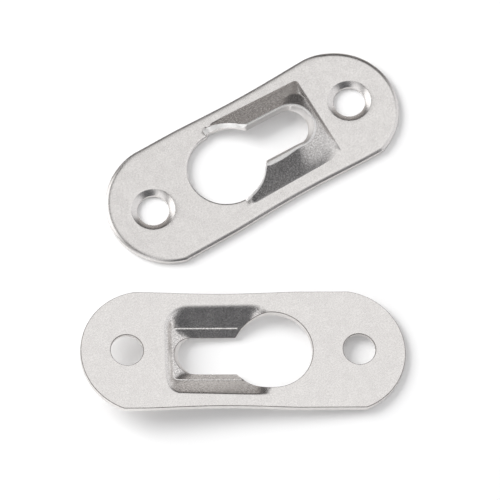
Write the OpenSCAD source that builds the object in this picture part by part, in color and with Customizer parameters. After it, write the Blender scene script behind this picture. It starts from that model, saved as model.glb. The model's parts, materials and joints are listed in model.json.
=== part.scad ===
// Pair of keyhole picture hangers, each pressed from one piece of sheet steel.
// One plate lies bulge up on its flat back, the other lies bulge down beside it.
// Plate frame: +X towards the slot end, +Z out of the flat back towards the bulge.

/* [Plate] */
// Overall length of one plate
plate_length = 42; // [40:0.5:50]
// Width of the strip that the plate is cut from
plate_width = 16.2; // [15.5:0.1:16.6]
// Thickness of the sheet
sheet_t = 1; // [0.8:0.05:1.2]
// Radius of the rounded ends, a little over half the width
end_radius = 8.4; // [8.3:0.05:9.5]
// How far the end arcs sit off the centre line, to the -Y side
end_shift = 0.24; // [0.04:0.02:0.3]

/* [Waist] */
// Depth of the pinch that the pressing leaves in each long edge
waist_depth = 0.27; // [0.05:0.01:0.6]
// Length of the pinched stretch
waist_length = 20; // [10:0.5:22]
// Middle of the pinched stretch along the plate
waist_x = 2.8; // [0:0.1:4]

/* [Screw holes] */
// Distance between the two countersunk holes
screw_pitch = 30; // [29:0.5:32]
// Diameter of the through holes
screw_hole_d = 4.2; // [3.2:0.1:4.8]
// Diameter of the countersinks at the bulge face
countersink_d = 5.9; // [5.2:0.1:7]
// Depth of the countersinks
countersink_depth = 0.3; // [0.2:0.05:0.75]

/* [Keyhole] */
// Diameter of the round entry for the head of the wall screw
entry_d = 10.4; // [9:0.1:10.8]
// Middle of the round entry along the plate
entry_x = -3.8; // [-5:0.1:-3.2]
// Width of the slot at its back edge
slot_w = 4.9; // [4.2:0.1:5.6]
// Where the slot ends along the plate, at its back edge
slot_end_x = 8.6; // [7:0.1:8.9]

/* [Bulge] */
// Width of the pressed bulge where it leaves the bulge face
root_w = 12.2; // [11.6:0.1:13]
// Where the closed end of the bulge leaves the bulge face
root_end_x = 10.4; // [10:0.1:11.2]
// Where the open end of the bulge runs out beside the entry
runout_x = -4.5; // [-5.5:0.1:-3.5]
// Height of the bend line above the bulge face
bend_rise = 1.3; // [0.9:0.05:1.6]
// Slope of the long sides of the bulge, in degrees
side_slope = 34; // [30:1:40]
// Slope of the closed end of the bulge, in degrees
end_slope = 68; // [55:1:75]
// Slope of the strip between the bend line and the slot, in degrees
strip_slope = 27; // [20:1:29]
// Slope at which the open end runs out, in degrees
runout_slope = 42; // [30:1:50]

/* [Second plate] */
// Middle of the bulge-down plate along X
loose_x = -15.55; // [-18:0.05:-14]
// Middle of the bulge-down plate along Y
loose_y = -23.6; // [-30:0.1:-22]
// Turn of the bulge-down plate about Z, in degrees
loose_turn = -28.9; // [-32:0.1:-20]

/* [Hidden] */
$fn = 96;

// Overrun of every cut past the faces that it goes through
overrun = 1;

// Middle of each end arc, measured from the middle of the plate
end_x = plate_length / 2 - end_radius;
// Radius of the arc that pinches each long edge, from its chord and depth
waist_radius = (pow(waist_length / 2, 2) + pow(waist_depth, 2)) / (2 * waist_depth);
// Middle of each pinching arc, measured from the centre line
waist_y = plate_width / 2 - waist_depth + waist_radius;

// Lines on the bulge face of the sheet, across the plate and along it
root_y = root_w / 2;
bend_y = root_y - bend_rise / tan(side_slope);
bend_x = root_end_x - bend_rise / tan(end_slope);
bend_z = sheet_t + bend_rise;
ridge_z = bend_z + bend_y * tan(strip_slope);

// The same lines on the back of the sheet, one thickness away
back_root_y = root_y - sheet_t * tan(side_slope / 2);
back_root_x = root_end_x - sheet_t * tan(end_slope / 2);
back_runout_x = runout_x + sheet_t * tan(runout_slope / 2);
back_bend_yz = back_of_bend(bend_y, bend_z, side_slope);
back_bend_xz = back_of_bend(bend_x, bend_z, end_slope);
back_ridge_z = ridge_z - sheet_t / cos(strip_slope);

// Slot edges: the slot's walls stand square to the sloping strip
slot_back_y = slot_w / 2;
slot_back_z = back_ridge_z - slot_back_y * tan(strip_slope);
crest_y = slot_back_y + sheet_t * sin(strip_slope);
crest_z = slot_back_z + sheet_t * cos(strip_slope);
slot_top_z = ridge_z + overrun;
slot_middle_x = slot_end_x - slot_back_y;

// Where the crest meets the round entry, which the bulge-down plate rests on
crest_x = entry_x + sqrt(pow(entry_d / 2, 2) - pow(crest_y, 2));
// The bulge-down plate leans on its crest and on its plain end
loose_tilt = atan((crest_z - sheet_t) / (plate_length / 2 + crest_x));
loose_z = sheet_t * cos(loose_tilt) + plate_length / 2 * sin(loose_tilt);

// The point on the back of the sheet behind a bend, as [place, height]
function back_of_bend(place, height, slope) =
    let (middle = (slope + strip_slope) / 2)
    let (reach = sheet_t / cos((slope - strip_slope) / 2))
    [place - reach * sin(middle), height - reach * cos(middle)];

// Half-width of the slot at a height
function slot_half(z) = slot_back_y + (z - slot_back_z) * tan(strip_slope);

// Where the run-out line and the strip's line meet along the plate, set back into the sheet
function runout_meets_x(set_back) =
    (bend_rise + bend_x * tan(strip_slope) + runout_x * tan(runout_slope)
        + set_back / cos(runout_slope) - set_back / cos(strip_slope))
    / (tan(runout_slope) + tan(strip_slope));

// Height of the run-out line at a place along the plate, set back into the sheet
function runout_z(x, set_back) =
    sheet_t + (x - runout_x) * tan(runout_slope) - set_back / cos(runout_slope);

// A section across the plate: half of it is given, from the root up to the ridge
module across(half, ridge) {
    other_half = [for (i = [len(half) - 1:-1:0]) [-half[i][0], half[i][1]]];
    rotate([90, 0, 90])
        linear_extrude(height = plate_length, center = true)
            polygon(concat(half, [[0, ridge]], other_half));
}

// A section along the plate, as wide as the plate
module along(points) {
    rotate([90, 0, 0])
        linear_extrude(height = plate_width, center = true)
            polygon(points);
}

// The solid under the bulge face
module bulge_outside() {
    meets_x = runout_meets_x(0);
    intersection() {
        across([[root_y, 0], [root_y, sheet_t], [bend_y, bend_z]], ridge_z);
        along([
            [runout_x, 0],
            [runout_x, sheet_t],
            [meets_x, runout_z(meets_x, 0)],
            [bend_x, bend_z],
            [root_end_x, sheet_t],
            [root_end_x, 0]
        ]);
    }
}

// The hollow under the bulge, open at the back
module bulge_inside() {
    meets_x = runout_meets_x(sheet_t);
    intersection() {
        across([[back_root_y, -overrun], [back_root_y, 0], back_bend_yz], back_ridge_z);
        along([
            [back_runout_x, -overrun],
            [back_runout_x, 0],
            [meets_x, runout_z(meets_x, sheet_t)],
            back_bend_xz,
            [back_root_x, 0],
            [back_root_x, -overrun]
        ]);
    }
}

// Outline of the plate: a strip with rounded ends and pinched long edges
module outline() {
    difference() {
        intersection() {
            square([plate_length, plate_width], center = true);
            union() {
                square([2 * end_x, plate_width], center = true);
                for (side = [-1, 1])
                    translate([side * end_x, -end_shift])
                        circle(r = end_radius);
            }
        }
        for (side = [-1, 1])
            translate([waist_x, side * waist_y])
                circle(r = waist_radius, $fn = 720);
    }
}

// One countersunk hole, cut from the back up to the bulge face
module screw_hole() {
    hole_r = screw_hole_d / 2;
    flare = (countersink_d / 2 - hole_r) / countersink_depth;
    cut = countersink_depth + overrun;
    translate([0, 0, -overrun])
        cylinder(h = sheet_t + 2 * overrun, r = hole_r);
    translate([0, 0, sheet_t - countersink_depth])
        cylinder(h = cut, r1 = hole_r, r2 = hole_r + cut * flare);
}

// The keyhole: a round entry and a slot whose walls lean with the strip
module keyhole() {
    low = slot_half(0);
    high = slot_half(slot_top_z);
    translate([entry_x, 0, -overrun])
        cylinder(h = slot_top_z + overrun, r = entry_d / 2);
    translate([slot_middle_x, 0, 0])
        cylinder(h = slot_top_z, r1 = low, r2 = high);
    translate([entry_x, 0, 0])
        rotate([90, 0, 90])
            linear_extrude(height = slot_middle_x - entry_x)
                polygon([[-low, 0], [low, 0], [high, slot_top_z], [-high, slot_top_z]]);
}

// One whole plate in its own frame
module plate() {
    difference() {
        union() {
            linear_extrude(height = sheet_t)
                outline();
            bulge_outside();
        }
        bulge_inside();
        keyhole();
        for (side = [-1, 1])
            translate([side * screw_pitch / 2, 0, 0])
                screw_hole();
    }
}

// The plate that lies on its flat back
module hanger_bulge_up() {
    color("silver")
        plate();
}

// The plate that lies on its crest and its plain end
module hanger_bulge_down() {
    color("gainsboro")
        translate([loose_x, loose_y, loose_z])
            rotate([0, 0, loose_turn])
                rotate([0, loose_tilt, 0])
                    rotate([0, 180, 0])
                        plate();
}

hanger_bulge_up();
hanger_bulge_down();
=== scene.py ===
# Two keyhole picture hangers of nickel-plated sheet steel on a white table.
# One lies bulge up, the other bulge down, and both are made by the same function.
import json
import math
from collections import namedtuple

import bmesh
import bpy
import numpy as np
from mathutils import Matrix, Vector
from mathutils.geometry import delaunay_2d_cdt


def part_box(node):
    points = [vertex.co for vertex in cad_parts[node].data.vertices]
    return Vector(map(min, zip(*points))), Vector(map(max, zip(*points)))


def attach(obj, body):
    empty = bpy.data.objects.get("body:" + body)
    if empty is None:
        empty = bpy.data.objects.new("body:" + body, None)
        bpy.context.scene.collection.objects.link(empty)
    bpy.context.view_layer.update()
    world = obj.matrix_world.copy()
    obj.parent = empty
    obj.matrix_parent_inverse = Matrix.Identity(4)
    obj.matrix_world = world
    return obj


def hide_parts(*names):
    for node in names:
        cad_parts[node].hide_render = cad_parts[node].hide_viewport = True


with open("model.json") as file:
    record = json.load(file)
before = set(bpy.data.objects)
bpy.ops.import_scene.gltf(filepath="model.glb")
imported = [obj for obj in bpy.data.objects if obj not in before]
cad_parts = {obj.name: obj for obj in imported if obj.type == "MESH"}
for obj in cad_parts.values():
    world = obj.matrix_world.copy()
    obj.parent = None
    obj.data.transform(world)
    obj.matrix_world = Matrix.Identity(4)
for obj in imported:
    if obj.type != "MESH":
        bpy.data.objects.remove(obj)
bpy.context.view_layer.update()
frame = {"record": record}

# Lengths below are in millimetres, and MM turns them into metres.
# Plate frame: +X towards the slot end, +Z out of the flat back towards the bulge.
MM = 0.001

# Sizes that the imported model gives
mounts = {mount["name"]: mount for mount in frame["record"]["mounts"]}
up_low, up_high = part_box("hanger_bulge_up")
PLATE_LENGTH = (up_high.x - up_low.x) / MM
PLATE_WIDTH = (up_high.y - up_low.y) / MM
SCREW_PITCH = mounts["frame_screws"]["dims"]["spacing_x_mm"]
SCREW_HOLE_R = mounts["frame_screws"]["dims"]["hole_r_mm"]
SLOT_BACK_Y = mounts["wall_screw_slot"]["dims"]["hole_r_mm"]
SLOT_MIDDLE_X = mounts["wall_screw_slot"]["pos_m"][0] / MM

# Sheet and outline, whose long edges are pinched in by the pressing
SHEET = 1.0
END_RADIUS = 8.4
END_SHIFT = 0.24
WAIST_DEPTH = 0.27
WAIST_LENGTH = 20.0
WAIST_X = 2.8
WAIST_POWER = 1.5

# Countersinks, with the width of their soft edges and the share of its drop that the rim already has
COUNTERSINK_R = 2.88
COUNTERSINK_DEPTH = 0.37
COUNTERSINK_SOFT = 0.06
RIM_DROP = 0.3

# Keyhole entry, and the rounding of the neck where it meets the slot
ENTRY_R = 5.15
ENTRY_X = -3.8
NECK_ROUND = 0.12

# Pressed bulge. Its legs spread towards the open end by these shares, on the +Y and the -Y side.
ROOT_HALF = 6.12
ROOT_END = 10.48
ROOT_WIDENING = (0.016, 0.028)
BEND_RISE = 1.2
SIDE_SLOPE = math.radians(31.5)
END_SLOPE = math.radians(62)
STRIP_SLOPE = math.radians(30)
BACK_SIDE_SLOPE = math.radians(36)
BACK_STRIP_SLOPE = math.radians(31)
BACK_END_SLOPE = math.radians(69)

# The bulge runs out beside the entry: where it is flat, where it has its full height on the bulge
# face and on the back, and the power that rounds the run-out of the bulge face
RUNOUT_LOW = -3.85
RUNOUT_HIGH = -2.7
BACK_RUNOUT_HIGH = -1.0
RUNOUT_POWER = 1.4

# The foot of the bulge face on the +Y side gets its full height this much further along,
# from this far off the centre line and over this width
FOOT_LAG = 2.2
FOOT_LAG_FROM = 5.75
FOOT_LAG_WIDTH = 0.5

# Reach of the soft corner of the closed end, on the -Y side, and the share of its height left there
SOFT_CORNER = 6.0
CORNER_SHARE = 0.22

# Plan radii of the bulge's corners, on the bulge face and on the back. The rim has one for each side.
ROOT_CORNER = 0.5
BEND_CORNER = 1.6
RIM_CORNER = np.array([2.9, 1.4])
NOSE_CORNER = 0.65

# Radii of the bends: the inner side of the sheet, the outer side and the rim on the back,
# which gets sharper on the -Y side, from a place across the plate and over a width
INNER_BEND = 0.12
OUTER_BEND = 1.1
RIM_BEND = 1.9
SHARP_RIM_BEND = 0.7
SHARP_RIM_Y = -1.0
SHARP_RIM_RUN = 4.0

# Most of the straight beside it that a bend may take up
BEND_ROOM = 0.45

# Width of flat that the sections start with, outside the root and outside the rim on the back
ROOT_MARGIN = 0.4
RIM_MARGIN = 1.2

# Ledge that the punch leaves along the nose on the back
NOSE_LEDGE = 0.18

# The root's inner bend grows wider by this much beside the entry, on the -Y side, from a place
# along the plate and over a run
OPEN_BEND = 1.2
OPEN_BEND_X = 0.5
OPEN_BEND_RUN = 3.0

# Cut edges roll over on the bulge face, over a (width, depth): the +Y edge, the rest of the outline,
# the entry and the slot. An edge counts as the +Y edge from this share of facing that way.
STRAIGHT_ROLL = (0.85, 0.072)
OUTLINE_ROLL = (0.75, 0.175)
ENTRY_ROLL = (0.30, 0.05)
SLOT_ROLL = (0.05, 0.0)
STRAIGHT_FROM = 0.9
ROLL_POWER = 3
ROLL_STEPS = 6

# Below the roll the wall is clean at these shares of the sheet, and torn from this one on:
# it leans back, and ends in a bevel at the back
CLEAN_SHARES = (0.4, 0.55)
TORN_SHARE = 0.75
BREAK_LEAN = 0.03
BURR_BEVEL = 0.08

# The keyhole's pressed edge is flattened to a burnished land: its usual width, its width on the
# entry's +Y lip and beside the slot on the -Y side, and how far it still rises
LAND = 0.36
LIP_LAND = 0.95
NEAR_LAND = 0.66
LAND_RISE = 0.05
LAND_STEPS = 10

# Where the wider lands give way, and over which runs: past the neck, and towards the slot's end
NECK_X = 0.3
LAND_RUN = 1.0
SLOT_TURN_X = 2.6
NEAR_LAND_RUN = 3.2

# Least run of a section before its land, and the run that counts as none
LEAST_RUN = 0.05
SAME_RUN = 1e-4

# End of the slot: its wall swells inwards, and it ends a little further out on the back
SLOT_SWELL = 0.62
SWELL_HALF = 2.15
SWELL_FADE = 0.3
BACK_END_GAIN = 0.18

# The point of the plate that the press tool is turned about
PRESS_PIVOT_X = 13.0

# How each plate came out: turn of the press tool, place of the entry across the plate,
# step of its +Y lip, and how far the +Y and the -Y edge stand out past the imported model
Make = namedtuple("Make", "turn entry_y lip_step edge_gains")
UP_MAKE = Make(math.radians(-1.3), -0.28, 0.33, (0.05, 0.20))
DOWN_MAKE = Make(0.0, 0.0, 0.0, (-0.04, -0.02))

# Run over which the entry's edge turns into the lip
LIP_STEP_RUN = 0.35

# Height over which the flat face's finish gives way to that of the pressed slopes
PRESSED_RISE = 0.15

# Mesh steps. The stations of a leg give way to those of the turn at TURN_X.
LEG_STEP = 0.12
TURN_X = 5.0
TURN_STEPS = 64
BEND_STEPS = 6
SLOPE_STEPS = 8
OUTLINE_STEP = 0.2
HOLE_STEPS = 120
FLAT_STEP = 0.5
FLAT_CLEARANCE = 0.3

# Triangles of the flats: kept inside the loops only, and the distance that counts as none
INSIDE_LOOPS = 1
SAME_PLACE = 1e-6

# Edges that turn by more than this stay sharp
SHARP_ANGLE = math.radians(38)

# Places of the materials in a plate's list. The torn one is darkened with painted shade.
SATIN, CUT_WALL, BURNISHED, TORN_SHADED, BACK_SATIN = range(5)

Rail = namedtuple("Rail", "half end corner side_height end_height")


def ease(share):
    """A smooth step from 0 to 1."""
    share = np.clip(share, 0, 1)
    return share * share * (3 - 2 * share)


def unit(vectors):
    return vectors / np.linalg.norm(vectors, axis=-1, keepdims=True)


def behind_bend(place, height, slope):
    """The point on the back of the sheet behind a bend of the bulge face."""
    middle = (slope + STRIP_SLOPE) / 2
    reach = SHEET / math.cos((slope - STRIP_SLOPE) / 2)
    return place - reach * math.sin(middle), height - reach * math.cos(middle)


def grown(rail, margin):
    """A rail set outwards by a margin at the same height."""
    return rail._replace(half=rail.half + margin, end=rail.end + margin, corner=rail.corner + margin)


def front_rails():
    """Lines along the bulge face: outside the root, the root, the bend and the slot edge."""
    bend_half = ROOT_HALF - BEND_RISE / math.tan(SIDE_SLOPE)
    bend_end = ROOT_END - BEND_RISE / math.tan(END_SLOPE)
    bend_height = SHEET + BEND_RISE
    slot_half = SLOT_BACK_Y + SHEET * math.sin(STRIP_SLOPE)
    slot_end = SLOT_MIDDLE_X + slot_half
    side_height = bend_height + (bend_half - slot_half) * math.tan(STRIP_SLOPE)
    end_height = bend_height + (bend_end - slot_end) * math.tan(STRIP_SLOPE)
    root = Rail(ROOT_HALF, ROOT_END, ROOT_CORNER, SHEET, SHEET)
    return [
        grown(root, ROOT_MARGIN),
        root,
        Rail(bend_half, bend_end, BEND_CORNER, bend_height, bend_height),
        Rail(slot_half, slot_end, slot_half, side_height, end_height),
    ]


def back_rails():
    """The same lines on the back: outside the rim, the rim, the nose, its ledge and the slot edge."""
    _, root, bend, _ = front_rails()
    rim_half = root.half - SHEET * math.tan(SIDE_SLOPE / 2)
    nose_half, _ = behind_bend(bend.half, bend.side_height, SIDE_SLOPE)
    nose_end, end_nose = behind_bend(bend.end, bend.end_height, END_SLOPE)
    rim_end = nose_end + end_nose / math.tan(BACK_END_SLOPE)
    side_nose = (rim_half - nose_half) * math.tan(BACK_SIDE_SLOPE)
    slot_end = SLOT_MIDDLE_X + SLOT_BACK_Y + BACK_END_GAIN
    side_height = side_nose + (nose_half - SLOT_BACK_Y) * math.tan(BACK_STRIP_SLOPE)
    end_height = end_nose + (nose_end - slot_end) * math.tan(BACK_STRIP_SLOPE)
    rim = Rail(rim_half, rim_end, RIM_CORNER, 0, 0)
    nose = Rail(nose_half, nose_end, NOSE_CORNER, side_nose, end_nose)
    return [
        grown(rim, RIM_MARGIN),
        rim,
        nose,
        grown(nose, -NOSE_LEDGE),
        Rail(SLOT_BACK_Y, slot_end, SLOT_BACK_Y, side_height, end_height),
    ]


def half_line(rail, corner):
    """Points of one half of a rail, from its open end to the middle of its closed end."""
    places = np.arange(RUNOUT_LOW, TURN_X, LEG_STEP)
    leg = np.stack([places, np.full_like(places, rail.half)], axis=1)
    shares = np.linspace(0, 1, TURN_STEPS)
    straight = rail.end - corner - TURN_X
    arc = corner * math.pi / 2
    across = rail.half - corner
    run = shares * (straight + arc + across)
    angle = np.clip((run - straight) / corner, 0, math.pi / 2)
    turn_x = TURN_X + np.minimum(run, straight) + corner * np.sin(angle)
    turn_y = across + corner * np.cos(angle) - np.maximum(run - straight - arc, 0)
    half = np.concatenate([leg, np.stack([turn_x, turn_y], axis=1)])
    to_end = np.concatenate([np.zeros(len(places)), ease(shares)])
    height = rail.side_height + (rail.end_height - rail.side_height) * to_end
    return np.column_stack([half, height])


def rail_line(rail):
    """Points of a rail from one open end, round the closed end, to the other open end."""
    half, other = [half_line(rail, corner) for corner in np.broadcast_to(rail.corner, 2)]
    return np.concatenate([half, other[-2::-1] * np.array([1, -1, 1])])


def straight_run(start, finish):
    """Points along the straight from start to finish, for every station at once."""
    shares = np.linspace(0, 1, SLOPE_STEPS + 1)[None, :, None]
    return start[:, None] + (finish - start)[:, None] * shares


def bend_arc(before, corner, after, radius):
    """A round bend of that radius at a corner, for every station at once."""
    way_in = corner - before
    way_out = after - corner
    room_in = BEND_ROOM * np.linalg.norm(way_in, axis=1)
    room_out = BEND_ROOM * np.linalg.norm(way_out, axis=1)
    way_in = unit(way_in)
    way_out = unit(way_out)
    turn = np.arccos(np.clip((way_in * way_out).sum(axis=1), -1, 1))
    reach = radius * np.tan(turn / 2)
    weight = np.cos(turn / 2)[:, None, None]
    t = np.linspace(0, 1, BEND_STEPS + 1)[None, :, None]
    first = (1 - t) ** 2
    middle = 2 * t * (1 - t) * weight
    last = t ** 2
    start = (corner - np.minimum(reach, room_in)[:, None] * way_in)[:, None]
    finish = (corner + np.minimum(reach, room_out)[:, None] * way_out)[:, None]
    return (first * start + middle * corner[:, None] + last * finish) / (first + middle + last)


def widened(line):
    """A root line whose legs spread towards the open end."""
    slant = np.where(line[:, 1] > 0, ROOT_WIDENING[0], -ROOT_WIDENING[1])
    line[:, 1] += slant * np.maximum(ROOT_END - ROOT_CORNER - line[:, 0], 0)
    return line


def open_bend(line):
    """Radius of the root's inner bend along a root line."""
    beside_entry = ease((OPEN_BEND_X - line[:, 0]) / OPEN_BEND_RUN) * (line[:, 1] < 0)
    return INNER_BEND + OPEN_BEND * beside_entry


def rim_bend(line):
    """Radius of the back's bend along a rim line."""
    sharp_side = ease((SHARP_RIM_Y - line[:, 1]) / SHARP_RIM_RUN)
    return RIM_BEND + (SHARP_RIM_BEND - RIM_BEND) * sharp_side


def corner_share(places):
    """Share of its full height that the bulge face has near the soft corner."""
    corner = np.array([ROOT_END, -ROOT_HALF])
    away = np.linalg.norm(places - corner, axis=-1)
    return CORNER_SHARE + (1 - CORNER_SHARE) * ease(away / SOFT_CORNER)


def face_rise(places, on_front):
    """Share of its full height that a face of the bulge has at each place in plan."""
    x, y = places[..., 0], places[..., 1]
    if not on_front:
        return ease((x - RUNOUT_LOW) / (BACK_RUNOUT_HIGH - RUNOUT_LOW))
    lag = FOOT_LAG * ease((y - FOOT_LAG_FROM) / FOOT_LAG_WIDTH)
    left = np.clip((RUNOUT_HIGH + lag - x) / (RUNOUT_HIGH - RUNOUT_LOW), 0, 1)
    return (1 - left ** RUNOUT_POWER) * corner_share(places)


def sections(rails, flat_height):
    """Sections of one face of the bulge, from outside the root to the slot edge."""
    lines = [rail_line(rail) for rail in rails]
    lines[:2] = [widened(line) for line in lines[:2]]
    on_front = flat_height > 0
    if on_front:
        radii = [open_bend(lines[1]), OUTER_BEND]
    else:
        radii = [rim_bend(lines[1]), INNER_BEND, INNER_BEND]
    here = lines[0]
    parts = [here[:, None]]
    for before, corner, after, radius in zip(lines, lines[1:], lines[2:], radii):
        bend = bend_arc(before, corner, after, radius)
        parts += [straight_run(here, bend[:, 0])[:, 1:-1], bend]
        here = bend[:, -1]
    found = np.concatenate([*parts, straight_run(here, lines[-1])[:, 1:]], axis=1)
    rise = face_rise(found[..., :2], on_front)
    found[..., 2] = flat_height + (found[..., 2] - flat_height) * rise
    return found


def entry_half(x, side, slot_half, make):
    """Half-width of the keyhole at a place along a leg, where the entry meets the slot."""
    circle = math.sqrt(max(ENTRY_R ** 2 - (x - ENTRY_X) ** 2, 0)) + side * make.entry_y
    if side > 0:
        circle += make.lip_step * ease((x - RUNOUT_LOW) / LIP_STEP_RUN)
    return (circle + slot_half + math.hypot(circle - slot_half, NECK_ROUND)) / 2


def land_at(x, side):
    """Width of the flattened edge at a place along a leg."""
    past_neck = ease((x - NECK_X) / LAND_RUN)
    if side > 0:
        return LIP_LAND + (LAND - LIP_LAND) * past_neck
    beside_slot = past_neck * (1 - ease((x - SLOT_TURN_X) / NEAR_LAND_RUN))
    return LAND + (NEAR_LAND - LAND) * beside_slot


def trimmed(section, cut_half, trim, land, flattened):
    """A section cut off at the keyhole's edge, where it can be flattened.

    Gives its points, the number of the point in each row, the edge and the way back from the edge.
    """
    steps = np.linalg.norm(np.diff(section, axis=0), axis=1)
    length = np.concatenate([[0], np.cumsum(steps)])
    half = np.abs(section[:, 1])
    cut = length[-1]
    if cut_half > half[-1]:
        cut = np.interp(-cut_half, -half, length)
    first = max(cut - land, LEAST_RUN)
    base = np.interp(first, length, section[:, 2])

    def at(run):
        point = np.array([np.interp(run, length, section[:, axis]) for axis in range(3)])
        if flattened and run > first:
            point[2] = base + LAND_RISE * (1 - math.exp((base - point[2]) / LAND_RISE))
        return point

    kept = [run for run in length if run < first - SAME_RUN]
    runs = kept + list(np.linspace(first, cut - trim, LAND_STEPS))
    points = [at(run) for run in runs]
    waiting = [len(kept)] * (len(length) - len(kept))
    rows = list(range(len(kept))) + waiting + list(range(len(kept) + 1, len(points)))
    return points, rows, at(cut), unit(at(cut - trim) - at(cut))


class SheetMesh:
    """Points and faces of one plate while it is put together."""

    def __init__(self):
        self.points = []
        self.pressed = []
        self.faces = []
        self.materials = []

    def add(self, points, pressed=None):
        start = len(self.points)
        self.points.extend(np.asarray(points, float))
        self.pressed.extend(np.zeros(len(points)) if pressed is None else pressed)
        return list(range(start, len(self.points)))

    def face(self, corners, material):
        kept = [c for i, c in enumerate(corners) if c != corners[i - 1]]
        if len(kept) > 2:
            self.faces.append(kept)
            self.materials.append(material)

    def strip(self, one, other, closed=True, material=SATIN):
        count = len(one) if closed else len(one) - 1
        for i in range(count):
            j = (i + 1) % len(one)
            self.face([one[i], one[j], other[j], other[i]], material)

    def cut_edge(self, rings, plated):
        """Strips from ring to ring: the first few plated as the face is, the last one torn metal
        darkened with painted shade.
        """
        pairs = list(zip(rings, rings[1:]))
        for one, other in pairs[:plated]:
            self.strip(one, other, material=SATIN)
        for one, other in pairs[plated:-1]:
            self.strip(one, other, material=CUT_WALL)
        # The back bevel gets the torn material, darkened with painted shade.
        self.strip(*pairs[-1], material=TORN_SHADED)


def outline_points(edge_gains):
    """The plate's outline in plan, counter-clockwise: two end arcs and two pinched edges."""
    end_x = PLATE_LENGTH / 2 - END_RADIUS
    high, low = [PLATE_WIDTH / 2 + gain for gain in edge_gains]
    top = math.asin((high + END_SHIFT) / END_RADIUS)
    bottom = math.asin((low - END_SHIFT) / END_RADIUS)
    count = round(END_RADIUS * (top + bottom) / OUTLINE_STEP)
    angles = np.linspace(-bottom, top, count)
    arc_x = end_x + END_RADIUS * np.cos(angles)
    arc_y = END_RADIUS * np.sin(angles) - END_SHIFT
    arc = np.stack([arc_x, arc_y], axis=1)
    left_arc = arc[::-1] * np.array([-1, 1])

    def edge(start, finish, place):
        steps = round(abs(finish - start) / OUTLINE_STEP)
        x = np.linspace(start, finish, steps + 1)[1:-1]
        off = np.clip(np.abs(x - WAIST_X) / (WAIST_LENGTH / 2), 0, 1)
        pinch = WAIST_DEPTH * (1 - off ** 2) ** WAIST_POWER
        return np.stack([x, place - math.copysign(1, place) * pinch], axis=1)

    upper = edge(arc[-1][0], left_arc[0][0], high)
    lower = edge(left_arc[-1][0], arc[0][0], -low)
    return np.concatenate([arc, upper, left_arc, lower])


def cut_profile(width, depth):
    """Shape of a cut edge from the bulge face to the back: (way into the sheet, share of depth)."""
    none = np.zeros(len(width))
    steps = np.linspace(0, 1, ROLL_STEPS + 1)
    rolled = [(width * (1 - step), depth / SHEET * step ** ROLL_POWER) for step in steps]
    clean = [(none, none + share) for share in CLEAN_SHARES]
    torn = [(none + BREAK_LEAN, none + share) for share in (TORN_SHARE, 1 - BURR_BEVEL / SHEET)]
    return rolled + clean + torn + [(none + BREAK_LEAN + BURR_BEVEL, none + 1)]


def cut_rings(mesh, front, back, front_in, back_in, roll, swell):
    """Rings of points down a cut edge, from the bulge face to the back."""
    rings = []
    for inward, depth in cut_profile(*roll):
        inward = inward[:, None]
        depth = depth[:, None]
        way = front_in * (1 - depth) + back_in * depth
        hump = swell * np.sin(math.pi * depth) ** 2
        rings.append(mesh.add(front + (back - front) * depth + way * inward + hump))
    return rings


def mixed_roll(one, other, share):
    """Widths and depths between those of two rolls."""
    return [a + (b - a) * share for a, b in zip(one, other)]


def inside_loop(places, loop):
    """Whether each place in plan lies inside a closed loop, by counting the edges to its right."""
    following = np.roll(loop, -1, axis=0)
    x, y = places[:, :1], places[:, 1:]
    straddles = (loop[:, 1] > y) != (following[:, 1] > y)
    drop = np.where(following[:, 1] == loop[:, 1], 1, following[:, 1] - loop[:, 1])
    cross = loop[:, 0] + (y - loop[:, 1]) * (following[:, 0] - loop[:, 0]) / drop
    return (straddles & (cross > x)).sum(axis=1) % 2 == 1


def flat_seeds(rim_plan):
    """A triangular net of places in plan that keeps clear of the rims."""
    seeds = []
    rows = np.arange(-PLATE_WIDTH / 2, PLATE_WIDTH / 2, FLAT_STEP * math.sqrt(3) / 2)
    columns = np.arange(-PLATE_LENGTH / 2, PLATE_LENGTH / 2, FLAT_STEP)
    for number, y in enumerate(rows):
        for x in columns + FLAT_STEP / 2 * (number % 2):
            if np.hypot(*(rim_plan - (x, y)).T).min() > FLAT_CLEARANCE:
                seeds.append((x, y))
    return seeds


def fill_flat(mesh, loops, height):
    """Triangles over the flat part of a face, inside the first loop and outside the others."""
    rim = [index for loop in loops for index in loop]
    rim_plan = np.array([mesh.points[index][:2] for index in rim])
    edges = []
    loop_plans = []
    start = 0
    for loop in loops:
        count = len(loop)
        edges += [(start + i, start + (i + 1) % count) for i in range(count)]
        loop_plans.append(rim_plan[start:start + count])
        start += count
    seeds = flat_seeds(rim_plan)
    plan = [Vector(place) for place in [*rim_plan, *seeds]]
    found = delaunay_2d_cdt(plan, edges, [], INSIDE_LOOPS, SAME_PLACE)
    places, _, triangles, origins, _, _ = found
    middles = np.array([sum((places[corner] for corner in t), Vector((0, 0))) / 3 for t in triangles])
    in_hole = np.any([inside_loop(middles, hole) for hole in loop_plans[1:]], axis=0)
    index_of = dict(enumerate(rim))
    for triangle, hidden in zip(triangles, in_hole):
        if hidden:
            continue
        corners = []
        for corner in triangle:
            origin = origins[corner][0]
            if origin not in index_of:
                index_of[origin] = mesh.add([(*seeds[origin - len(rim)], height)])[0]
            corners.append(index_of[origin])
        mesh.face(corners, SATIN)


def turned(points, turn):
    """Points turned in plan, as the press tool sits a little askew on its plate."""
    cos, sin = math.cos(turn), math.sin(turn)
    pivot = np.array([PRESS_PIVOT_X, 0, 0])
    spin = np.array([[cos, sin, 0], [-sin, cos, 0], [0, 0, 1]])
    return (np.asarray(points, float) - pivot) @ spin + pivot


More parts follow.
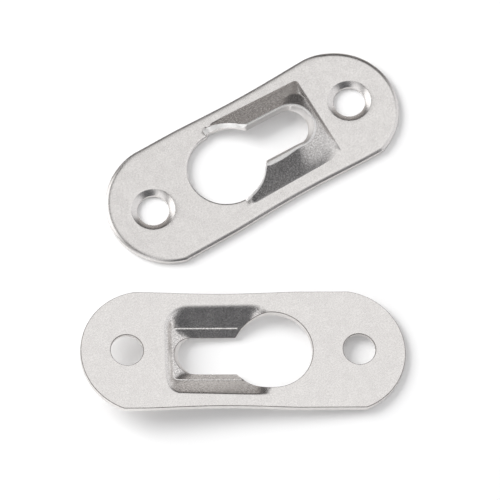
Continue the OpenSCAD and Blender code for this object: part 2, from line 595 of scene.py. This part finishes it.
def add_outline(mesh, make):
    """The plate's outer edge. Returns its loops on the bulge face and on the back."""
    plan = outline_points(make.edge_gains)
    ahead = np.roll(plan, -1, axis=0) - np.roll(plan, 1, axis=0)
    inward = unit(np.stack([-ahead[:, 1], ahead[:, 0], np.zeros(len(plan))], axis=1))
    front = np.column_stack([plan, np.full(len(plan), SHEET)])
    back = np.column_stack([plan, np.zeros(len(plan))])
    straight = ease((-inward[:, 1] - STRAIGHT_FROM) / (1 - STRAIGHT_FROM))
    roll = mixed_roll(OUTLINE_ROLL, STRAIGHT_ROLL, straight)
    rings = cut_rings(mesh, front, back, inward, inward, roll, np.zeros((len(plan), 3)))
    mesh.cut_edge(rings, ROLL_STEPS)
    return rings[0], rings[-1]


def add_screw_hole(mesh, x):
    """One countersunk hole. Returns its loops on the bulge face and on the back."""
    angles = np.linspace(0, 2 * math.pi, HOLE_STEPS, endpoint=False)
    circle = np.stack([np.cos(angles), np.sin(angles)], axis=1)
    floor = SHEET - COUNTERSINK_DEPTH
    soft = COUNTERSINK_SOFT
    drop = soft * COUNTERSINK_DEPTH / (COUNTERSINK_R - SCREW_HOLE_R)
    cone = [
        (COUNTERSINK_R + soft, SHEET),
        (COUNTERSINK_R, SHEET - RIM_DROP * drop),
        (COUNTERSINK_R - soft, SHEET - drop),
        (SCREW_HOLE_R + soft, floor + drop),
        (SCREW_HOLE_R, floor - drop),
    ]
    bore = [(SCREW_HOLE_R, BURR_BEVEL), (SCREW_HOLE_R + BURR_BEVEL, 0)]
    rings = []
    for radius, height in cone + bore:
        ring = np.column_stack([circle * radius + (x, 0), np.full(HOLE_STEPS, height)])
        rings.append(mesh.add(ring))
    mesh.cut_edge(rings, len(cone) - 1)
    return rings[0], rings[-1]


def add_bulge_face(mesh, make, found, flat_height, station_x, trims):
    """One face of the bulge. Returns its rows of points, the keyhole's edge and the ways back."""
    on_front = flat_height > 0
    slot_half = abs(found[0, -1, 1])
    grid, edge, inward = [], [], []
    for section, x, trim in zip(found, station_x, trims):
        side = np.sign(section[-1, 1])
        cut_half = entry_half(x, side, slot_half, make) if x < TURN_X else 0
        points, rows, at_edge, way = trimmed(section, cut_half, trim, land_at(x, side), on_front)
        plan, height = np.split(np.array(points), [2], axis=1)
        drawn = ease((height[:, 0] - flat_height) / PRESSED_RISE)
        if on_front:
            drawn *= corner_share(plan)
        indices = mesh.add(turned(points, make.turn), drawn)
        grid.append([indices[row] for row in rows])
        edge.append(at_edge)
        inward.append(way)
    slope, land = (SATIN, BURNISHED) if on_front else (BACK_SATIN, BACK_SATIN)
    for one, other in zip(grid, grid[1:]):
        mesh.strip(one[:-LAND_STEPS + 1], other[:-LAND_STEPS + 1], closed=False, material=slope)
        mesh.strip(one[-LAND_STEPS:], other[-LAND_STEPS:], closed=False, material=land)
    return grid, edge, inward


def entry_ways():
    """Directions out from the entry's middle, round the part of it that lies outside the bulge."""
    start_angle = math.acos((RUNOUT_LOW - ENTRY_X) / ENTRY_R)
    angles = np.linspace(-start_angle, start_angle - 2 * math.pi, HOLE_STEPS)[1:-1]
    return np.stack([np.cos(angles), np.sin(angles), np.zeros(len(angles))], axis=1)


def slot_swell(back_edge, station_x):
    """How far the wall at the slot's closed end swells inwards, along the keyhole's edge."""
    stations = len(station_x)
    half = np.abs(back_edge[:stations, 1])
    at_end = (station_x > SLOT_MIDDLE_X) * (1 - ease((half - SWELL_HALF) / SWELL_FADE))
    swell = np.zeros_like(back_edge)
    swell[:stations, 0] = -SLOT_SWELL * at_end
    return swell


def joined_loop(grid, ring):
    """Ends a face's rows on the keyhole's ring. Returns the flat face's loop round them."""
    arc = ring[len(grid):]
    for station, row in enumerate(grid):
        ring[station] = row[-1]
    first, last = [list(dict.fromkeys(row)) for row in (grid[0], grid[-1])]
    return [row[0] for row in grid[1:-1]] + last + arc + first[::-1]


def add_bulge(mesh, make):
    """The bulge and the keyhole. Returns the flat face's loops round them, front and back."""
    front = sections(front_rails(), SHEET)
    back = sections(back_rails(), 0)
    station_x = front[:, -1, 0]
    roll = mixed_roll(ENTRY_ROLL, SLOT_ROLL, ease((station_x - RUNOUT_LOW) / LIP_STEP_RUN))
    back_trims = np.full(len(back), BREAK_LEAN + BURR_BEVEL)
    ways = entry_ways()
    grids, edges, inwards = [], [], []
    for found, flat_height, trims in [(front, SHEET, roll[0]), (back, 0, back_trims)]:
        grid, edge, inward = add_bulge_face(mesh, make, found, flat_height, station_x, trims)
        arc = ways * ENTRY_R + (ENTRY_X, make.entry_y, flat_height)
        grids.append(grid)
        edges.append(turned(np.concatenate([edge, arc]), make.turn))
        inwards.append(np.concatenate([inward, ways]))
    around = [np.concatenate([one, np.full(len(ways), size)]) for one, size in zip(roll, ENTRY_ROLL)]
    rings = cut_rings(mesh, *edges, *inwards, around, slot_swell(edges[1], station_x))
    loops = [joined_loop(grid, ring) for grid, ring in zip(grids, (rings[0], rings[-1]))]
    mesh.cut_edge(rings, ROLL_STEPS)
    return loops


def build_plate(name, make):
    """One plate as a closed mesh in its own frame."""
    mesh = SheetMesh()
    front_loops, back_loops = [], []
    for front, back in [
        add_outline(mesh, make),
        add_bulge(mesh, make),
        add_screw_hole(mesh, -SCREW_PITCH / 2),
        add_screw_hole(mesh, SCREW_PITCH / 2),
    ]:
        front_loops.append(front)
        back_loops.append(back)
    fill_flat(mesh, front_loops, SHEET)
    fill_flat(mesh, back_loops, 0)
    used = sorted({corner for face in mesh.faces for corner in face})
    new_index = {old: new for new, old in enumerate(used)}
    points = np.array(mesh.points)[used]
    data = bpy.data.meshes.new(name)
    faces = [[new_index[corner] for corner in face] for face in mesh.faces]
    data.from_pydata([tuple(point) for point in points * MM], [], faces)
    data.polygons.foreach_set("material_index", mesh.materials)
    pressed = data.attributes.new("pressed", "FLOAT", "POINT")
    pressed.data.foreach_set("value", np.array(mesh.pressed)[used])
    return data


def finish_plate(data, materials):
    """Turns the normals outwards and shades the mesh smooth between its sharp edges."""
    work = bmesh.new()
    work.from_mesh(data)
    bmesh.ops.recalc_face_normals(work, faces=work.faces)
    work.to_mesh(data)
    work.free()
    data.shade_smooth()
    data.set_sharp_from_angle(angle=SHARP_ANGLE)
    for material in materials:
        data.materials.append(material)


def new_material(name):
    material = bpy.data.materials.new(name)
    material.use_nodes = True
    nodes = material.node_tree.nodes
    return nodes, material.node_tree.links, nodes["Principled BSDF"], material


def new_metal(name):
    """A new metal material, with the place on the object that its textures follow."""
    nodes, links, shader, material = new_material(name)
    shader.inputs["Metallic"].default_value = 1.0
    place = nodes.new("ShaderNodeTexCoord").outputs["Object"]
    return nodes, links, shader, place, material


def noise(nodes, links, place, scale, detail):
    texture = nodes.new("ShaderNodeTexNoise")
    texture.inputs["Scale"].default_value = scale
    texture.inputs["Detail"].default_value = detail
    links.new(place, texture.inputs["Vector"])
    return texture.outputs["Fac"]


def tone_ramp(nodes, links, value, stops):
    """Colours along a value, from (position, colour) pairs."""
    ramp = nodes.new("ShaderNodeValToRGB")
    elements = ramp.color_ramp.elements
    while len(elements) < len(stops):
        elements.new(0.5)
    for element, (position, colour) in zip(elements, stops):
        element.position = position
        element.color = (*colour, 1)
    links.new(value, ramp.inputs["Fac"])
    return ramp.outputs["Color"]


def spread(nodes, links, value, low, high):
    """A value from 0 to 1 turned into one from low to high."""
    scaled = nodes.new("ShaderNodeMapRange")
    scaled.inputs["To Min"].default_value = low
    scaled.inputs["To Max"].default_value = high
    links.new(value, scaled.inputs["Value"])
    return scaled.outputs["Result"]


def combined(nodes, links, operation, one, other):
    """Two values put together by a math operation. The second may be a plain number."""
    node = nodes.new("ShaderNodeMath")
    node.operation = operation
    links.new(one, node.inputs[0])
    if isinstance(other, float):
        node.inputs[1].default_value = other
    else:
        links.new(other, node.inputs[1])
    return node.outputs[0]


def blend(nodes, links, share, one, other):
    """Two colours mixed by a share. Each may be a plain colour."""
    mix = nodes.new("ShaderNodeMix")
    mix.data_type = "RGBA"
    colours = [socket for socket in mix.inputs if socket.type == "RGBA"]
    links.new(share, mix.inputs["Factor"])
    for socket, value in zip(colours, (one, other)):
        if isinstance(value, tuple):
            socket.default_value = (*value, 1)
        else:
            links.new(value, socket)
    return [socket for socket in mix.outputs if socket.type == "RGBA"][0]


# Depth of the fine relief of the metal, and the scale that draws tear lines out through the sheet
RELIEF = 0.02
TEAR_SCALE = (1, 1, 0.12)

# Tones along the grain as (position, colour): the flats, then the pressed bulge face and back
FLAT_TONES = [(0.30, (0.76, 0.736, 0.719)), (0.70, (0.87, 0.846, 0.829))]
FRONT_TONES = [(0.36, (0.44, 0.425, 0.414)), (0.62, (0.74, 0.72, 0.704)), (0.76, (0.97, 0.96, 0.95))]
BACK_TONES = [(0.36, (0.62, 0.60, 0.585)), (0.62, (0.90, 0.875, 0.857)), (0.76, (0.98, 0.96, 0.945))]

# Tones of the marks on the burnished, torn and cut metal. The torn tones are dark partly as dull torn
# metal and partly as painted shade along the back bevel of each cut edge.
BURNISHED_TONES = [(0.30, (0.86, 0.85, 0.84)), (0.70, (0.95, 0.94, 0.93))]
TORN_SHADE_TONES = [(0.30, (0.20, 0.18, 0.17)), (0.70, (0.38, 0.36, 0.345))]
CUT_TONES = [(0, (0.80, 0.775, 0.755)), (1, (0.90, 0.88, 0.865))]


def add_bump(nodes, links, shader, height):
    """Fine relief on a material. Returns the socket of its strength."""
    bump = nodes.new("ShaderNodeBump")
    bump.inputs["Distance"].default_value = RELIEF * MM
    links.new(height, bump.inputs["Height"])
    links.new(bump.outputs["Normal"], shader.inputs["Normal"])
    return bump.inputs["Strength"]


def satin_nickel(name, pressed_tones):
    """Satin nickel plate with a fine grain, duller and speckled where it is pressed."""
    nodes, links, shader, place, material = new_metal(name)
    grain = noise(nodes, links, place, scale=5500, detail=2)
    flat = tone_ramp(nodes, links, grain, FLAT_TONES)
    drawn = tone_ramp(nodes, links, grain, pressed_tones)
    attribute = nodes.new("ShaderNodeAttribute")
    attribute.attribute_name = "pressed"
    pressed = attribute.outputs["Fac"]
    links.new(blend(nodes, links, pressed, flat, drawn), shader.inputs["Base Color"])
    patches = noise(nodes, links, place, scale=700, detail=3)
    links.new(spread(nodes, links, patches, low=0.20, high=0.32), shader.inputs["Roughness"])
    strength = add_bump(nodes, links, shader, grain)
    links.new(spread(nodes, links, pressed, low=0.15, high=0.5), strength)
    return material


def mottled_metal(name, scale, tones, roughness):
    """Metal with cloudy marks of these tones."""
    nodes, links, shader, place, material = new_metal(name)
    marks = noise(nodes, links, place, scale, detail=2)
    links.new(tone_ramp(nodes, links, marks, tones), shader.inputs["Base Color"])
    shader.inputs["Roughness"].default_value = roughness
    return material


def burnished_nickel():
    """Nickel plate that the press tool has rubbed bright."""
    return mottled_metal("burnished_nickel", scale=4000, tones=BURNISHED_TONES, roughness=0.4)


def torn_metal():
    """The dull line that the punch tears along the far side of a cut, darkened further with painted
    shade for the dark line along the edge.
    """
    return mottled_metal("torn_metal", scale=3000, tones=TORN_SHADE_TONES, roughness=0.6)


def cut_metal():
    """Plated cut edges, a little brighter, with fine tear lines through the sheet."""
    nodes, links, shader, place, material = new_metal("cut_metal")
    stretch = nodes.new("ShaderNodeMapping")
    stretch.inputs["Scale"].default_value = TEAR_SCALE
    links.new(place, stretch.inputs["Vector"])
    tears = noise(nodes, links, stretch.outputs["Vector"], scale=7000, detail=2)
    links.new(tone_ramp(nodes, links, tears, CUT_TONES), shader.inputs["Base Color"])
    shader.inputs["Roughness"].default_value = 0.52
    strength = add_bump(nodes, links, shader, tears)
    strength.default_value = 0.15
    return material


def place_plate(name, make, body, node, matrix, materials):
    """One plate in its place, riding on its body and standing for its node."""
    data = build_plate(name, make)
    data.transform(matrix)
    finish_plate(data, materials)
    plate = bpy.data.objects.new(name, data)
    bpy.context.scene.collection.objects.link(plate)
    even = plate.modifiers.new("even_normals", "WEIGHTED_NORMAL")
    even.keep_sharp = True
    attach(plate, body)
    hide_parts(node)


def loose_matrix():
    """Place of the bulge-down plate, from the mount of its screw holes."""
    mount = mounts["second_plate_screws"]
    axis = Vector(mount["axis"])
    turn = math.atan2(-axis.y, -axis.x)
    tilt = math.acos(-axis.z)
    turn_over = Matrix.Rotation(math.pi, 4, "Y")
    lean = Matrix.Rotation(tilt, 4, "Y")
    return Matrix.Translation(mount["pos_m"]) @ Matrix.Rotation(turn, 4, "Z") @ lean @ turn_over


# View of the photograph: aim point and direction in the frame, with a long lens
AIM = Vector((-7.00, -11.12, 0)) * MM
VIEW_AZIMUTH = math.radians(-31.25)
VIEW_ELEVATION = math.radians(66.94)
VIEW_DISTANCE = 700 * MM
LENS = 387.5
SENSOR_WIDTH = 36.0


def add_camera():
    data = bpy.data.cameras.new("camera")
    data.lens = LENS
    data.sensor_width = SENSOR_WIDTH
    camera = bpy.data.objects.new("camera", data)
    back = Vector((
        math.sin(VIEW_AZIMUTH) * math.cos(VIEW_ELEVATION),
        -math.cos(VIEW_AZIMUTH) * math.cos(VIEW_ELEVATION),
        math.sin(VIEW_ELEVATION),
    ))
    camera.location = AIM + back * VIEW_DISTANCE
    camera.rotation_euler = (-back).to_track_quat("-Z", "Y").to_euler()
    bpy.context.scene.collection.objects.link(camera)
    bpy.context.scene.camera = camera


# Directions as seen in the photograph
RIGHT = Vector((math.cos(VIEW_AZIMUTH), math.sin(VIEW_AZIMUTH), 0))
FAR = Vector((-math.sin(VIEW_AZIMUTH), math.cos(VIEW_AZIMUTH), 0))
UP = Vector((0, 0, 1))

# White table, a hair below the plates
FLOOR_HALF = 3000 * MM
FLOOR_LOW = -0.02 * MM
FLOOR_COLOUR = (0.9, 0.9, 0.9, 1)
FLOOR_TOP_UP = 0.1

# Softbox above the far left
KEY_WAY = (-RIGHT * 0.8 + FAR * 0.35 + UP * 0.75).normalized()
KEY_DISTANCE = 1000 * MM
KEY_SIZE = 700 * MM
KEY_WATTS = 7.5


def heading(turn, rise):
    """A direction that many degrees right of the far side and above the table."""
    turn, rise = math.radians(turn), math.radians(rise)
    level = RIGHT * math.sin(turn) + FAR * math.cos(turn)
    return level * math.cos(rise) + UP * math.sin(rise)


# Studio surround, dark by the table, with layers that lie over it and over each other.
# A mask is a direction, and the angles from it at which its layer starts and is full.
Mask = namedtuple("Mask", "way start full")
Layer = namedtuple("Layer", "colour masks")
DARK_BY_TABLE = (0.03, 0.028, 0.026)
LOW_BAND = Layer((0.48, 0.452, 0.434), [Mask(UP, 89, 82)])
DARK_ROOM = Layer((0.10, 0.095, 0.095), [Mask(UP, 78, 71)])
NEAR_WALL = Layer((1.05, 1.05, 1.06), [Mask(-FAR, 88, 60)])
OVERHEAD = Layer((1.02, 1.02, 1.02), [Mask(UP, 41, 34), Mask(RIGHT, 103, 94)])
DARK_FLAG = Layer((0.10, 0.101, 0.107), [Mask(heading(136, 42), 48, 29)])
RIGHT_CARD = Layer((0.85, 0.85, 0.86), [Mask(heading(80, 25), 46, 30)])
SOFTBOX = Layer((1.5, 1.5, 1.5), [Mask(KEY_WAY, 27, 20)])
LAYERS = [LOW_BAND, DARK_ROOM, NEAR_WALL, OVERHEAD, DARK_FLAG, RIGHT_CARD, SOFTBOX]


def white_floor():
    """White table: diffuse for the light, and topped up to white where it is seen or mirrored."""
    nodes, links, shader, material = new_material("white_floor")
    nodes.remove(shader)
    matt = nodes.new("ShaderNodeBsdfDiffuse")
    matt.inputs["Color"].default_value = FLOOR_COLOUR
    rays = nodes.new("ShaderNodeLightPath").outputs
    seen = combined(nodes, links, "MAXIMUM", rays["Is Camera Ray"], rays["Is Glossy Ray"])
    shown = combined(nodes, links, "MAXIMUM", seen, rays["Is Transmission Ray"])
    glow = nodes.new("ShaderNodeEmission")
    glow.inputs["Color"].default_value = (1, 1, 1, 1)
    links.new(combined(nodes, links, "MULTIPLY", shown, FLOOR_TOP_UP), glow.inputs["Strength"])
    both = nodes.new("ShaderNodeAddShader")
    links.new(matt.outputs[0], both.inputs[0])
    links.new(glow.outputs[0], both.inputs[1])
    links.new(both.outputs[0], nodes["Material Output"].inputs["Surface"])
    return material


def add_floor():
    data = bpy.data.meshes.new("floor")
    corners = [(-1, -1), (1, -1), (1, 1), (-1, 1)]
    points = [(x * FLOOR_HALF, y * FLOOR_HALF, FLOOR_LOW) for x, y in corners]
    data.from_pydata(points, [], [(0, 1, 2, 3)])
    data.materials.append(white_floor())
    floor = bpy.data.objects.new("floor", data)
    bpy.context.scene.collection.objects.link(floor)


def facing(nodes, links, way, mask):
    """From 0 to 1 as a way comes within the mask's first and then its second angle."""
    dot = nodes.new("ShaderNodeVectorMath")
    dot.operation = "DOT_PRODUCT"
    dot.inputs[1].default_value = mask.way.normalized()
    links.new(way, dot.inputs[0])
    ramp = nodes.new("ShaderNodeMapRange")
    ramp.interpolation_type = "SMOOTHSTEP"
    ramp.inputs["From Min"].default_value = math.cos(math.radians(mask.start))
    ramp.inputs["From Max"].default_value = math.cos(math.radians(mask.full))
    links.new(dot.outputs["Value"], ramp.inputs["Value"])
    return ramp.outputs["Result"]


def add_world():
    """The studio surround, layer by layer."""
    world = bpy.data.worlds.new("studio")
    bpy.context.scene.world = world
    world.use_nodes = True
    nodes = world.node_tree.nodes
    links = world.node_tree.links
    way = nodes.new("ShaderNodeTexCoord").outputs["Generated"]
    room = DARK_BY_TABLE
    for layer in LAYERS:
        share, *others = [facing(nodes, links, way, mask) for mask in layer.masks]
        for other in others:
            share = combined(nodes, links, "MULTIPLY", share, other)
        room = blend(nodes, links, share, room, layer.colour)
    background = nodes["Background"]
    links.new(room, background.inputs["Color"])
    background.inputs["Strength"].default_value = 1.0


def add_key():
    """The softbox's light. Its mirror image is a layer of the studio surround."""
    data = bpy.data.lights.new("key", "AREA")
    data.size = KEY_SIZE
    data.energy = KEY_WATTS
    key = bpy.data.objects.new("key", data)
    key.location = AIM + KEY_WAY * KEY_DISTANCE
    key.rotation_euler = (-KEY_WAY).to_track_quat("-Z", "Y").to_euler()
    key.visible_glossy = False
    bpy.context.scene.collection.objects.link(key)


def build():
    bpy.context.scene.view_settings.view_transform = "Standard"
    add_camera()
    add_floor()
    add_world()
    add_key()
    materials = [
        satin_nickel("satin_nickel", FRONT_TONES),
        cut_metal(),
        burnished_nickel(),
        torn_metal(),
        satin_nickel("satin_nickel_back", BACK_TONES),
    ]
    upright = Matrix.Identity(4)
    place_plate("hanger_up", UP_MAKE, "plate", "hanger_bulge_up", upright, materials)
    place_plate("hanger_down", DOWN_MAKE, "loose_plate", "hanger_bulge_down", loose_matrix(), materials)


build()
